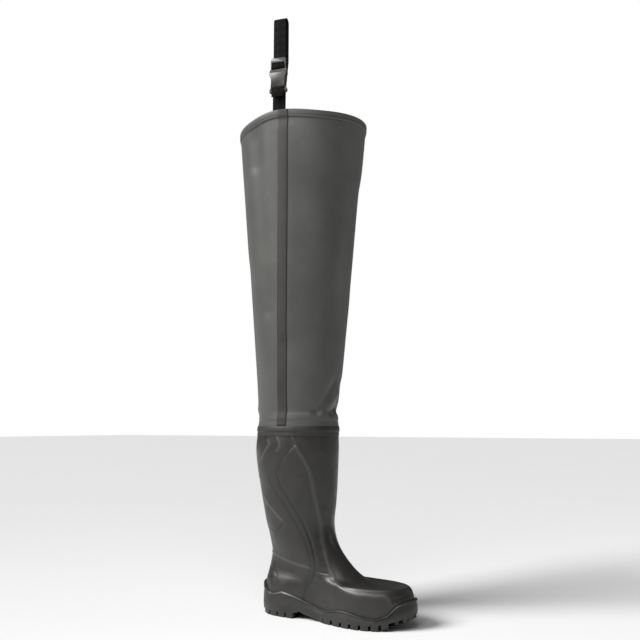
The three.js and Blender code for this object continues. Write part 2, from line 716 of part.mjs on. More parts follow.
function movedOutLevel(ring, out) {
  return ring.map((p, j) => {
    const along = ring[(j + 1) % around].clone().sub(ring[(j + around - 1) % around]);
    along.setZ(0).normalize();
    return vec(p.x - along.y * out, p.y + along.x * out, p.z);
  });
}

// Tape around the joint: on the boot below the fabric's edge, and stepped over it
function seamTapeSolid() {
  const edge = bootHeight - cuffOverlap; // fabric's lower edge
  const top = edge + seamTapeWidth * 0.5;
  const bottom = edge - seamTapeWidth * 0.5;
  const over = legWall + 2 * clearance;
  const t = tapeThickness;
  const at = (z, out) => ringAt(upperRings, z, out);
  return ringLoop([
    at(bottom, clearance + t),
    at(edge - clearance - t, clearance + t),
    at(edge - clearance - t / 2, over + t),
    at(top, over + t),
    at(top, over),
    at(edge - clearance, over),
    at(edge - clearance - t / 2, clearance),
    at(bottom, clearance),
  ]);
}

// Tape down the outer side, from the hem to the joint's tape
function sideTapeSolid() {
  const bottom = bootHeight - cuffOverlap + seamTapeWidth * 0.5 + clearance;
  const skin = (out) => legRings.slice(0, -1).map((ring) => movedOutLevel(ring, out));
  const sleeve = ringLoop([...skin(clearance + tapeThickness), ...skin(clearance).reverse()]);
  const top = collarHeight - hemHeight - clearance;
  const half = sideTapeWidth / 2;
  const strip = [
    [sideTapeBottom - half, bottom],
    [sideTapeBottom + half, bottom],
    [sideTapeTop + half, top],
    [sideTapeTop - half, top],
  ];
  return sleeve.intersect(slabAcross(strip, collarWidth, -collarWidth / 2 - bootWall));
}

// A band of strap: [across, up] points of its middle line, drawn out to the strap's width
function strapBand(points) {
  const p = points.map(([a, b]) => new THREE.Vector2(a, b));
  const side = (sign) =>
    p.map((q, i) => {
      const before = q.clone().sub(p[Math.max(i - 1, 0)]).normalize();
      const after = p[Math.min(i + 1, p.length - 1)].clone().sub(q).normalize();
      const t = before.add(after).normalize();
      const run = after.lengthSq() > 0 ? after : t;
      const stretch = 1 / Math.max(Math.abs(t.dot(run)), 0.5);
      return [q.x - (sign * t.y * strapThickness * stretch) / 2, q.y + (sign * t.x * strapThickness * stretch) / 2];
    });
  return slabAlong([...side(1), ...side(-1).reverse()], strapWidth, 0);
}
// The strap and buckle are drawn with their face towards -Y, then turned and put in place
const strapPlace = vec(strapAlong, strapSide);
const inPlace = (solid) => solid.rotate([0, 0, strapTurn]).translate([strapAlong, strapSide, 0]);
// Middle of a strap that lies flat against the leg's inside at one height
function insideY(z) {
  const wall = ringAt(legRings, z, -legWall).map((p) => p.sub(strapPlace).applyAxisAngle(up, -radians(strapTurn)));
  const outer = wall.filter((p) => p.y < collarWidth / 4).sort((a, b) => a.x - b.x);
  const faces = [-0.5, 0, 0.5].map((share) => {
    const x = share * strapWidth;
    const i = outer.findIndex((p) => p.x > x);
    return mix(outer[i - 1].y, outer[i].y, (x - outer[i - 1].x) / (outer[i].x - outer[i - 1].x));
  });
  return Math.max(...faces) + clearance + strapThickness / 2;
}
const layer = strapThickness + clearance;
const collarSide = collarHeight - clearance; // the strap's height at the collar
const tailBottom = collarSide - strapTail;
const behindBar = (barThickness + strapThickness) / 2 + 2 * clearance; // strap's middle behind a bar
const buckleY = insideY(collarSide) - behindBar; // middle of the buckle's thickness
const buckleBottom = collarHeight + buckleLift;
const strapTop = collarHeight + loopHeight;
const barTop = buckleBottom + barHeight;

function shortStrapSolid() {
  const b = behindBar;
  const high = barTop + slotHeight / 2;
  return strapBand([
    [insideY(tailBottom), tailBottom],
    [insideY(collarSide), collarSide],
    [buckleY + b, barTop],
    [buckleY + b - 0.5, high - 0.5],
    [buckleY + b - 1.4, high],
    [buckleY - b + 1.4, high],
    [buckleY - b + 0.5, high - 0.5],
    [buckleY - b, barTop],
    [buckleY - b, barTop - foldBack],
  ]);
}
const tongueBottom = buckleBottom + socketHeight + clearance;
const lowerSlot = tongueBottom + frontBar;
const midBar = lowerSlot + slotHeight;
const upperSlot = midBar + barHeight;
function longStrapSolid() {
  const b = behindBar;
  const runY = buckleY + b + layer;
  const backY = runY + loopGap;
  const fold = strapTop - strapThickness / 2;
  const arc = Array.from({ length: 7 }, (_, i) => {
    const angle = (Math.PI * i) / 6;
    return [runY + loopGap / 2 + (Math.cos(angle) * loopGap) / 2, fold + ((Math.sin(angle) - 1) * loopGap) / 2];
  });
  const low = lowerSlot + slotHeight / 2;
  const high = upperSlot + slotHeight / 2;
  return strapBand([
    [insideY(tailBottom) + layer, tailBottom],
    [insideY(collarSide) + layer, collarSide],
    [buckleY + socketThickness / 2 + layer, buckleBottom + slotHeight],
    [backY, tongueBottom + tongueHeight],
    ...arc,
    [runY, low + 2],
    [runY - 0.8, low + 0.4],
    [runY - 2, low],
    [buckleY - b + 1.4, low],
    [buckleY - b + 0.4, low + 0.6],
    [buckleY - b, low + 2],
    [buckleY - b, high - 2],
    [buckleY - b + 0.4, high - 0.6],
    [buckleY - b + 1.4, high],
    [buckleY + b - 1.4, high],
    [buckleY + b - 0.4, high + 0.6],
    [buckleY + b, high + 2],
    [buckleY + b, high + 2 + foldBack],
  ]);
}

const mirrored = (half) => [
  ...half.map(([x, z]) => [x, z]),
  ...[...half].reverse().map(([x, z]) => [-x, z]),
];
function socketSolid() {
  const w = buckleWidth / 2;
  const [low, top] = [buckleBottom, buckleBottom + socketHeight];
  const slotTop = barTop + slotHeight;
  const base = slabAcross(mirrored([[w - 1.5, low], [w, low + 1.5], [w, low + 5], [w - 2.5, slotTop + 3], [w - 3, slotTop + 6]]), barThickness, buckleY);
  const body = slabAcross(
    mirrored([[w - 5.5, slotTop + 1.5], [w - 3.5, slotTop + 3], [w - 4, low + 19], [w - 4, low + 28], [w - 1.5, low + 34], [w, low + 38], [w, top - 2], [w - 2, top]]),
    socketThickness,
    buckleY,
  );
  const slot = slabAcross(oblong(-strapWidth / 2 - strapPlay, strapWidth / 2 + strapPlay, barTop, slotTop), socketThickness * 2, buckleY);
  const inside = barThickness + 2 * clearance;
  const mouth = w - mouthInset;
  const hollow = slabAcross(oblong(-mouth, mouth, slotTop + frontBar, top + 1), inside, buckleY);
  const windows = slabAcross(oblong(-w - 1, w + 1, low + windowLow, low + windowHigh), inside, buckleY);
  return base.add(body).subtract(slot).subtract(hollow).subtract(windows);
}
function tongueSolid() {
  const w = buckleWidth / 2;
  const [low, top] = [tongueBottom, tongueBottom + tongueHeight];
  const frame = slabAcross(mirrored([[w - 1, low], [w, low + 1.5], [w - 0.5, low + 4], [w - 2.5, low + 8], [w - 2.5, top - 3], [w - 4.5, top]]), barThickness, buckleY);
  const [x0, x1] = [-strapWidth / 2 - strapPlay, strapWidth / 2 + strapPlay];
  const holes = [lowerSlot, upperSlot].map((z) => slabAcross(oblong(x0, x1, z, z + slotHeight), socketThickness, buckleY));
  const tip = buckleBottom + armTip;
  const arms = [-1, 1].map((side) => {
    const out = w - armGap - clearance;
    const inner = out - armWidth;
    const outline = [[inner, low + 2], [inner, tip], [out, tip], [out, tip + 1.4], [out + wingReach, tip + 6], [out + wingReach, tip + 12.4], [out, tip + 12.4], [out, low + 2]];
    return slabAcross(outline.map(([x, z]) => [side * x, z]), barThickness, buckleY);
  });
  return frame.subtract(holes[0]).subtract(holes[1]).add(arms[0]).add(arms[1]);
}

const surface = (color, roughness) => new THREE.MeshStandardMaterial({ color, roughness, metalness: 0 });
const materials = {
  boot: surface(0x3b3c38, 0.5),
  sole: surface(0x30312e, 0.6),
  insert: surface(0xf0392b, 0.5),
  insole: surface(0x2a2a2a, 0.9),
  fabric: surface(0x5c5d58, 0.7),
  tape: surface(0x454140, 0.6),
  webbing: surface(0x1f1b19, 0.85),
  buckle: surface(0x3a3735, 0.4),
};
const pieces = [
  { name: "upper", solid: upperSolid(), material: materials.boot },
  { name: "outsole", solid: outsoleSolid(), material: materials.sole },
  { name: "sole_insert", solid: insertSolid(0), material: materials.insert },
  { name: "insole", solid: insoleSolid(), material: materials.insole },
  { name: "leg", solid: legSolid(), material: materials.fabric },
  { name: "seam_tape", solid: seamTapeSolid(), material: materials.tape },
  { name: "side_tape", solid: sideTapeSolid(), material: materials.tape },
  { name: "strap_short", solid: inPlace(shortStrapSolid()), material: materials.webbing },
  { name: "strap_long", solid: inPlace(longStrapSolid()), material: materials.webbing },
  { name: "buckle_socket", solid: inPlace(socketSolid()), material: materials.buckle },
  { name: "buckle_tongue", solid: inPlace(tongueSolid()), material: materials.buckle },
];

// The middle of the whole wader's footprint becomes the origin
const boxes = pieces.map((p) => p.solid.boundingBox());
const least = (i) => Math.min(...boxes.map((b) => b.min[i]));
const most = (i) => Math.max(...boxes.map((b) => b.max[i]));
const shift = [-(least(0) + most(0)) / 2, -(least(1) + most(1)) / 2, -least(2)];

function toGeometry(solid) {
  const mesh = solid.getMesh();
  const flat = new Float32Array(mesh.numVert * 3);
  for (let i = 0; i < mesh.numVert; i++)
    flat.set(mesh.vertProperties.subarray(i * mesh.numProp, i * mesh.numProp + 3), i * 3);
  const geometry = new THREE.BufferGeometry();
  geometry.setAttribute("position", new THREE.BufferAttribute(flat, 3));
  geometry.setIndex(new THREE.BufferAttribute(new Uint32Array(mesh.triVerts), 1));
  geometry.translate(...shift);
  geometry.computeVertexNormals();
  return geometry;
}
const wader = new THREE.Group();
wader.name = "hip_wader";
for (const piece of pieces) {
  const mesh = new THREE.Mesh(toGeometry(piece.solid), piece.material);
  mesh.name = piece.name;
  wader.add(mesh);
}
export default wader;
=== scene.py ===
import math
import random

import bpy
import numpy as np
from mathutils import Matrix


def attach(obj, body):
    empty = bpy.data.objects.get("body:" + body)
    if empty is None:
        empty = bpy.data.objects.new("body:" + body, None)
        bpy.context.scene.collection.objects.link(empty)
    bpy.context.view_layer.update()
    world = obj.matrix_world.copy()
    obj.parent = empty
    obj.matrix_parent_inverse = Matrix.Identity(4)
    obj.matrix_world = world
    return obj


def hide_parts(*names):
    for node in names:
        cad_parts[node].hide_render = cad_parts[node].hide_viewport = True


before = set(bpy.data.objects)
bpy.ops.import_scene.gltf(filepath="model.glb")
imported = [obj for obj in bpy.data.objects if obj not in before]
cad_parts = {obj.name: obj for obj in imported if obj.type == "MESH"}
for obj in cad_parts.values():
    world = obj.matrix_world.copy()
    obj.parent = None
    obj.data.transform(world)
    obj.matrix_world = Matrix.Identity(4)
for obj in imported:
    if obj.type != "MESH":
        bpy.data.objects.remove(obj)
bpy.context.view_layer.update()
mm = 0.001
toPart = np.array([-130.26, 2.5, 0.0])  # from the heel's back and middle line to the part's origin


# view, light and floor
camera = {"place": (0.7037, -1.2388, 0.344), "tilt": 98, "turn": 30, "lens": 42.3}
lamps = [
    {"name": "key", "type": "SUN", "at": (-2.1, -2.5, 3.0), "to": (0, 0, 0.3), "size": 0.5, "power": 4.4},
    {"name": "rim", "type": "AREA", "at": (1.7, 1.15, 0.9), "to": (0, 0, 0.5), "size": 0.5, "power": 1.6},
    {"name": "top", "type": "AREA", "at": (0.3, -0.9, 1.4), "to": (0.05, 0, 0.05), "size": 0.8, "power": 7},
]
floorSide = 40.0


def deselectAll():
    if bpy.context.object and bpy.context.object.mode != "OBJECT":
        bpy.ops.object.mode_set(mode="OBJECT")
    bpy.ops.object.select_all(action="DESELECT")


def addView():
    bpy.ops.object.camera_add(
        location=camera["place"],
        rotation=(math.radians(camera["tilt"]), 0, math.radians(camera["turn"])),
    )
    made = bpy.context.object
    made.data.lens = camera["lens"]
    made.data.sensor_width = 36
    bpy.context.scene.camera = made


def addLamps():
    for lamp in lamps:
        bpy.ops.object.light_add(type=lamp["type"], location=lamp["at"])
        made = bpy.context.object
        made.name = lamp["name"]
        made.data.energy = lamp["power"]
        if lamp["type"] == "SUN":
            made.data.angle = lamp["size"]  # radians, so that its shadows stay soft
        else:
            made.data.size = lamp["size"]
        aim = made.location.copy()
        for i in range(3):
            aim[i] = lamp["to"][i] - aim[i]
        made.rotation_euler = aim.to_track_quat("-Z", "Y").to_euler()


deselectAll()
addView()
addLamps()
print("view and lamps in place")


# materials
def linear(hexColour):
    parts = [int(hexColour[i:i + 2], 16) / 255 for i in (1, 3, 5)]
    bent = [p / 12.92 if p <= 0.04045 else ((p + 0.055) / 1.055) ** 2.4 for p in parts]
    return (*bent, 1)


def perMetre(size):  # how often a pattern of that many millimetres repeats
    return 1 / (size * mm)


# adds one node: its own settings, then its sockets by value or by link
def addNode(made, kind, setup=None, sockets=None):
    node = made.node_tree.nodes.new("ShaderNode" + kind)
    for name, value in (setup or {}).items():
        setattr(node, name, value)
    for name, value in (sockets or {}).items():
        if isinstance(value, bpy.types.NodeSocket):
            made.node_tree.links.new(value, node.inputs[name])
        else:
            node.inputs[name].default_value = value
    return node


def startMaterial(name):
    made = bpy.data.materials.new(name)
    made.use_nodes = True
    made.node_tree.nodes.clear()
    return made


def endMaterial(made, sockets):
    shader = addNode(made, "BsdfPrincipled", None, sockets)
    addNode(made, "OutputMaterial", None, {"Surface": shader.outputs["BSDF"]})
    return made


# moulded polyurethane: satin, slightly greenish charcoal, with a painted highlight along the relief's crests and
# painted shade in its grooves
def mouldedPolyurethane(name, dark, light, crestHighlight, roughness):
    made = startMaterial(name)
    place = addNode(made, "TexCoord").outputs["Object"]
    cloud = addNode(made, "TexNoise", None, {"Vector": place, "Scale": perMetre(45), "Detail": 4})
    tone = addNode(made, "ValToRGB", None, {"Fac": cloud.outputs["Fac"]})
    tone.color_ramp.elements[0].position = 0.35
    tone.color_ramp.elements[0].color = linear(dark)
    tone.color_ramp.elements[1].position = 0.68
    tone.color_ramp.elements[1].color = linear(light)
    crest = addNode(made, "Attribute", {"attribute_name": "crest"}).outputs["Fac"]
    groove = addNode(made, "Attribute", {"attribute_name": "groove"}).outputs["Fac"]
    # painted highlight: the colour turns paler along the crests of the relief (the crest mask)
    paintedHighlight = addNode(made, "Mix", {"data_type": "RGBA"},
                   {"Factor": crest, 6: tone.outputs["Color"], 7: linear(crestHighlight)})
    # painted shade: the colour turns near black in the grooves of the relief (the groove mask)
    deep = addNode(made, "Mix", {"data_type": "RGBA"},
                   {"Factor": groove, 6: paintedHighlight.outputs[2], 7: linear("#171715")})
    # the mould's grain is about 0.6 mm, drawn at 1.8 mm so that it shows
    grain = addNode(made, "TexNoise", None, {"Vector": place, "Scale": perMetre(1.8), "Detail": 2})
    scuff = addNode(made, "TexNoise", None, {"Vector": place, "Scale": perMetre(14), "Detail": 6})
    gloss = addNode(made, "MapRange", None, {
        "Value": scuff.outputs["Fac"], "From Min": 0.3, "From Max": 0.7,
        "To Min": roughness - 0.06, "To Max": roughness + 0.1})
    bump = addNode(made, "Bump", None, {"Height": grain.outputs["Fac"], "Strength": 0.25, "Distance": 0.25 * mm})
    return endMaterial(made, {
        "Base Color": deep.outputs[2], "Roughness": gloss.outputs["Result"],
        "Normal": bump.outputs["Normal"], "IOR": 1.5})


# coated polyester: smooth vinyl skin with a faint weave below, soft sheen, slightly greenish grey
def coatedFabric(name, dark, light):
    made = startMaterial(name)
    place = addNode(made, "TexCoord").outputs["Object"]
    along = addNode(made, "UVMap", {"uv_map": "cloth"}).outputs["UV"]
    cloud = addNode(made, "TexNoise", None, {"Vector": place, "Scale": perMetre(70), "Detail": 5})
    tone = addNode(made, "ValToRGB", None, {"Fac": cloud.outputs["Fac"]})
    tone.color_ramp.elements[0].position = 0.32
    tone.color_ramp.elements[0].color = linear(dark)
    tone.color_ramp.elements[1].position = 0.7
    tone.color_ramp.elements[1].color = linear(light)
    # threads are 0.5 mm apart, drawn at 1.5 mm so that they show
    warp = addNode(made, "TexWave", {"bands_direction": "X"},
                   {"Vector": along, "Scale": perMetre(1.5) / 20, "Distortion": 0.4})
    weft = addNode(made, "TexWave", {"bands_direction": "Y"},
                   {"Vector": along, "Scale": perMetre(1.5) / 20, "Distortion": 0.4})
    weave = addNode(made, "Math", {"operation": "MULTIPLY"},
                    {0: warp.outputs["Fac"], 1: weft.outputs["Fac"]})
    ripple = addNode(made, "TexNoise", None, {"Vector": place, "Scale": perMetre(22), "Detail": 3})
    fine = addNode(made, "Bump", None, {"Height": weave.outputs["Value"], "Strength": 0.12, "Distance": 0.1 * mm})
    soft = addNode(made, "Bump", None, {
        "Height": ripple.outputs["Fac"], "Strength": 0.35, "Distance": 0.8 * mm, "Normal": fine.outputs["Normal"]})
    return endMaterial(made, {
        "Base Color": tone.outputs["Color"], "Roughness": 0.5, "IOR": 1.5,
        "Normal": soft.outputs["Normal"], "Sheen Weight": 0.12})


# polyurethane tape welded over a joint: thin, matt, a little browner than the fabric
def weldedTape(name, dark, light):
    made = startMaterial(name)
    place = addNode(made, "TexCoord").outputs["Object"]
    cloud = addNode(made, "TexNoise", None, {"Vector": place, "Scale": perMetre(30), "Detail": 4})
    tone = addNode(made, "ValToRGB", None, {"Fac": cloud.outputs["Fac"]})
    tone.color_ramp.elements[0].position = 0.3
    tone.color_ramp.elements[0].color = linear(dark)
    tone.color_ramp.elements[1].position = 0.7
    tone.color_ramp.elements[1].color = linear(light)
    press = addNode(made, "TexNoise", None, {"Vector": place, "Scale": perMetre(4), "Detail": 2})
    bump = addNode(made, "Bump", None, {"Height": press.outputs["Fac"], "Strength": 0.3, "Distance": 0.2 * mm})
    return endMaterial(made, {
        "Base Color": tone.outputs["Color"], "Roughness": 0.55, "IOR": 1.5, "Normal": bump.outputs["Normal"]})


# woven polypropylene: ribs across the strap, dull with a thin shine on the yarns
def wovenWebbing(name, dark, light, turn):
    made = startMaterial(name)
    place = addNode(made, "TexCoord").outputs["Object"]
    turned = addNode(made, "Mapping", None, {"Vector": place, "Rotation": (0, 0, -math.radians(turn))})
    # the ribs are 1.2 mm apart, drawn at 2.4 mm so that they show
    rib = addNode(made, "TexWave", {"bands_direction": "Z"},
                  {"Vector": turned.outputs["Vector"], "Scale": perMetre(2.4) / 20, "Distortion": 0})
    yarn = addNode(made, "TexWave", {"bands_direction": "X"},
                   {"Vector": turned.outputs["Vector"], "Scale": perMetre(2.4) / 20, "Distortion": 0})
    weave = addNode(made, "Math", {"operation": "MULTIPLY"}, {0: rib.outputs["Fac"], 1: yarn.outputs["Fac"]})
    tone = addNode(made, "ValToRGB", None, {"Fac": weave.outputs["Value"]})
    tone.color_ramp.elements[0].color = linear(dark)
    tone.color_ramp.elements[1].color = linear(light)
    bump = addNode(made, "Bump", None, {"Height": weave.outputs["Value"], "Strength": 0.6, "Distance": 0.35 * mm})
    return endMaterial(made, {
        "Base Color": tone.outputs["Color"], "Roughness": 0.85, "IOR": 1.49, "Specular IOR Level": 0.12,
        "Normal": bump.outputs["Normal"]})


# moulded acetal: hard, satin, fine spark-eroded skin
def mouldedAcetal(name, dark, light):
    made = startMaterial(name)
    place = addNode(made, "TexCoord").outputs["Object"]
    cloud = addNode(made, "TexNoise", None, {"Vector": place, "Scale": perMetre(9), "Detail": 3})
    tone = addNode(made, "ValToRGB", None, {"Fac": cloud.outputs["Fac"]})
    tone.color_ramp.elements[0].color = linear(dark)
    tone.color_ramp.elements[1].color = linear(light)
    skin = addNode(made, "TexNoise", None, {"Vector": place, "Scale": perMetre(0.7), "Detail": 2})
    bump = addNode(made, "Bump", None, {"Height": skin.outputs["Fac"], "Strength": 0.2, "Distance": 0.08 * mm})
    return endMaterial(made, {
        "Base Color": tone.outputs["Color"], "Roughness": 0.38, "IOR": 1.48, "Normal": bump.outputs["Normal"]})


# pressed felt on the insole: matt, mottled fibres
def pressedFelt(name, dark, light):
    made = startMaterial(name)
    place = addNode(made, "TexCoord").outputs["Object"]
    fibre = addNode(made, "TexNoise", None, {"Vector": place, "Scale": perMetre(2), "Detail": 8})
    tone = addNode(made, "ValToRGB", None, {"Fac": fibre.outputs["Fac"]})
    tone.color_ramp.elements[0].color = linear(dark)
    tone.color_ramp.elements[1].color = linear(light)
    bump = addNode(made, "Bump", None, {"Height": fibre.outputs["Fac"], "Strength": 0.6, "Distance": 0.5 * mm})
    return endMaterial(made, {
        "Base Color": tone.outputs["Color"], "Roughness": 0.95, "IOR": 1.5, "Normal": bump.outputs["Normal"]})


# matt paper sweep under the boot
def mattPaper(name, shade):
    made = startMaterial(name)
    place = addNode(made, "TexCoord").outputs["Object"]
    cloud = addNode(made, "TexNoise", None, {"Vector": place, "Scale": 0.8})
    tone = addNode(made, "MapRange", None, {"Value": cloud.outputs["Fac"], "To Min": shade, "To Max": shade + 0.02})
    return endMaterial(made, {"Base Color": tone.outputs["Result"], "Roughness": 0.9})


bootSkin = mouldedPolyurethane("moulded_polyurethane_boot", "#21201e", "#2a2927", "#43423f", 0.38)
soleSkin = mouldedPolyurethane("moulded_polyurethane_sole", "#1f1e1c", "#282725", "#3c3b38", 0.44)
insertSkin = mouldedPolyurethane("moulded_polyurethane_red", "#d9301f", "#ee3d2b", "#f2604f", 0.42)
legSkin = coatedFabric("coated_polyester", "#3c3d3a", "#464643")
tapeSkin = weldedTape("welded_polyurethane_tape", "#211e1c", "#2b2725")
webbingSkin = wovenWebbing("woven_polypropylene", "#050404", "#100f0e", 12)
threadSkin = wovenWebbing("spun_polyester_thread", "#1c1c1a", "#2b2b28", 0)
buckleSkin = mouldedAcetal("moulded_acetal", "#1e1c1a", "#282523")
insoleSkin = pressedFelt("pressed_felt", "#1d1d1c", "#3a3a38")
paperSkin = mattPaper("matt_paper", 0.8)
print("materials made")


def giveMaterial(piece, material):
    piece.data.materials.clear()
    piece.data.materials.append(material)


def addFloor():
    bpy.ops.mesh.primitive_plane_add(size=floorSide, location=(0, 0, 0))
    made = bpy.context.object
    made.name = "studio_floor"
    bpy.ops.object.mode_set(mode="EDIT")
    bpy.ops.mesh.subdivide(number_cuts=4)
    bpy.ops.object.mode_set(mode="OBJECT")
    giveMaterial(made, paperSkin)


addFloor()


def addStudioWorld():  # white behind the boot, and a weaker even light on it
    world = bpy.data.worlds.new("studio")
    world.use_nodes = True
    tree = world.node_tree
    seen = tree.nodes.new("ShaderNodeLightPath").outputs["Is Camera Ray"]
    strength = tree.nodes.new("ShaderNodeMapRange")
    strength.inputs["To Min"].default_value = 0.1
    strength.inputs["To Max"].default_value = 1.0
    tree.links.new(seen, strength.inputs["Value"])
    tree.links.new(strength.outputs["Result"], tree.nodes["Background"].inputs["Strength"])
    tree.nodes["Background"].inputs["Color"].default_value = (1, 1, 1, 1)
    bpy.context.scene.world = world
    bpy.context.scene.view_settings.view_transform = "Standard"


addStudioWorld()


# curves and surfaces shared by the soft pieces
def curveThrough(points, at, closed):  # smooth curve through points, at in point numbers
    points = np.asarray(points, dtype=float)
    count = len(points)
    at = np.asarray(at, dtype=float)
    first = np.floor(at).astype(int)
    if not closed:
        first = np.clip(first, 0, count - 2)
    share = (at - first).reshape((-1,) + (1,) * (points.ndim - 1))
    if closed:
        p = [points[(first + k) % count] for k in (-1, 0, 1, 2)]
    else:
        wide = np.concatenate([[2 * points[0] - points[1]], points, [2 * points[-1] - points[-2]]])
        p = [wide[first + k] for k in (0, 1, 2, 3)]
    gap = [np.maximum(np.sqrt(np.linalg.norm(p[k + 1] - p[k], axis=-1, keepdims=True)), 1e-4) for k in range(3)]
    into = (p[1] - p[0]) / gap[0] - (p[2] - p[0]) / (gap[0] + gap[1]) + (p[2] - p[1]) / gap[1]
    away = (p[2] - p[1]) / gap[1] - (p[3] - p[1]) / (gap[1] + gap[2]) + (p[3] - p[2]) / gap[2]
    into, away = into * gap[1], away * gap[1]
    s2, s3 = share ** 2, share ** 3
    return (p[1] * (2 * s3 - 3 * s2 + 1) + into * (s3 - 2 * s2 + share)
            + p[2] * (3 * s2 - 2 * s3) + away * (s3 - s2))


def outward(rows):  # each point's own direction out of a grid whose rows rise
    rise = np.gradient(rows, axis=0)
    along = np.roll(rows, -1, axis=1) - np.roll(rows, 1, axis=1)
    normal = np.cross(rise, along)
    return normal / np.maximum(np.linalg.norm(normal, axis=2, keepdims=True), 1e-9)


def outwardLevel(rows):
    along = np.roll(rows, -1, axis=1) - np.roll(rows, 1, axis=1)
    level = np.stack([-along[..., 1], along[..., 0], np.zeros(along.shape[:2])], axis=2)
    return level / np.maximum(np.linalg.norm(level, axis=2, keepdims=True), 1e-9)


def smoothStep(value, low, high):
    share = np.clip((value - low) / (high - low), 0, 1)
    return share * share * (3 - 2 * share)


def distanceTo(line, x, z):  # from points of a side view to a broken line
    best = np.full(np.shape(x), 1e9)
    for (ax, az), (bx, bz) in zip(line, line[1:]):
        run = (bx - ax) ** 2 + (bz - az) ** 2
        share = np.clip(((x - ax) * (bx - ax) + (z - az) * (bz - az)) / run, 0, 1)
        best = np.minimum(best, np.hypot(x - ax - share * (bx - ax), z - az - share * (bz - az)))
    return best


def insideOutline(outline, x, z):
    inside = np.zeros(np.shape(x), dtype=bool)
    for (ax, az), (bx, bz) in zip(outline, outline[1:] + outline[:1]):
        if az == bz:
            continue
        crosses = (az > z) != (bz > z)
        inside ^= crosses & (x < ax + (z - az) * (bx - ax) / (bz - az))
    return inside


def gridPiece(name, rows, wraps=True, marks=None, cloth=None):
    count, around = rows.shape[:2]
    points = ((rows + toPart) * mm).reshape(-1, 3)
    faces = []
    for r in range(count if wraps else count - 1):
        low, high = r * around, (r + 1) % count * around
        for c in range(around):
            d = (c + 1) % around
            faces.append((low + c, high + c, high + d, low + d))
    mesh = bpy.data.meshes.new(name)
    mesh.from_pydata(points.tolist(), [], faces)
    for mark, values in (marks or {}).items():
        mesh.attributes.new(mark, "FLOAT", "POINT").data.foreach_set("value", values.reshape(-1))
    if cloth is not None:
        layer = mesh.uv_layers.new(name="cloth")
        corner = np.zeros(len(mesh.loops), dtype=int)
        mesh.loops.foreach_get("vertex_index", corner)
        layer.data.foreach_set("uv", cloth.reshape(-1, 2)[corner].reshape(-1))
    mesh.update()
    piece = bpy.data.objects.new(name, mesh)
    bpy.context.collection.objects.link(piece)
    for face in mesh.polygons:
        face.use_smooth = True
    return piece


def settle(piece, node, material):
    giveMaterial(piece, material)
    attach(piece, "root")
    if node:
        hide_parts(node)


# upper: the moulded boot, in millimetres from the heel's back
boot = {
    "footLength": 305, "ballWidth": 112, "instepHeight": 131, "height": 355,
    "shaftDepth": 164, "shaftWidth": 137, "wall": 4, "clearance": 0.3, "lug": 8.5,
    "around": 216, "panelStep": 0.9,
    "steps": [6, 6, 5, 6, 9, 12, 15, 16, 16, 14, 14, 15, 17, 16, 14, 9],
}
solePlan = [
    (1.0, 0.08), (0.977, -0.13), (0.92, -0.305), (0.83, -0.435), (0.72, -0.495), (0.62, -0.485),
    (0.52, -0.42), (0.42, -0.37), (0.31, -0.38), (0.2, -0.385), (0.1, -0.345), (0.028, -0.215),
    (0.0, 0.0), (0.028, 0.215), (0.1, 0.345), (0.2, 0.38), (0.31, 0.36), (0.42, 0.325),
    (0.52, 0.365), (0.62, 0.445), (0.72, 0.505), (0.83, 0.48), (0.92, 0.377), (0.977, 0.228),
]
insideFloor = [
    (0.0, 2.6), (0.03, 2.6), (0.272, 2.55), (0.3, 2.5), (0.36, 2.2), (0.455, 1.75), (0.482, 1.65),
    (0.77, 1.55), (0.83, 1.7), (0.89, 2.1), (0.95, 2.7), (1.0, 3.3),
]
# front, its height, back, its height, half width, roundness, hug, lift
footSections = [
    (0.984, 0.2, 0.018, 0.2, 0.458, 0, 1, 0),
    (0.983, 0.33, 0.016, 0.31, 0.464, 0, 0.5, -0.02),
    (0.975, 0.44, 0.02, 0.42, 0.458, 0.02, 0, -0.01),
    (0.954, 0.51, 0.027, 0.505, 0.435, 0.1, 0, -0.005),
    (0.92, 0.508, 0.034, 0.578, 0.405, 0.32, 0, -0.005),
    (0.86, 0.478, 0.041, 0.658, 0.375, 0.55, 0, 0.005),
    (0.775, 0.47, 0.05, 0.76, 0.355, 0.76, 0, 0.015),
    (0.665, 0.575, 0.054, 0.865, 0.355, 0.9, 0, 0.015),
    (0.564, 0.775, 0.048, 0.98, 0.378, 0.97, 0, 0.01),
    (0.494, 1.0, 0.038, 1.11, 0.41, 1, 0, 0),
]
# share of the way up the shaft, centre, depth, width
shaftSections = [
    (0.145, 0.2436, 0.82, 0.74), (0.285, 0.239, 0.883, 0.81), (0.44, 0.2328, 0.934, 0.89),
    (0.61, 0.224, 0.982, 0.965), (0.77, 0.2207, 1.006, 1.0), (0.91, 0.2256, 0.975, 0.975),
    (1.0, 0.228, 0.94, 0.95),
]
panelFront = [
    (100, 310), (106, 301), (112, 290), (119, 276), (124, 261), (126, 247), (128, 228), (130, 209), (132, 184),
    (134, 159), (137, 138), (144, 120), (151, 103), (159, 88), (169, 75), (185, 66), (200, 61), (216, 58),
    (233, 58), (251, 57), (266, 57), (274, 51), (279, 43),
]
panelBottom = [
    (270, 34), (256, 25), (235, 26), (207, 32), (183, 36), (166, 31), (152, 27), (137, 28), (120, 35), (109, 40),
]
panelBack = [
    (112, 47), (118, 58), (124, 74), (130, 89), (129, 107), (125, 122), (118, 143), (111, 162), (103, 181),
    (94, 197), (83, 217), (71, 235), (64, 252), (63, 260), (71, 275), (79, 287), (90, 299),
]
panelOutline = panelFront + panelBottom + panelBack


def level(points, ups):  # ring from points and heights
    return np.concatenate([points, np.broadcast_to(ups, points.shape[:1])[:, None]], axis=1)


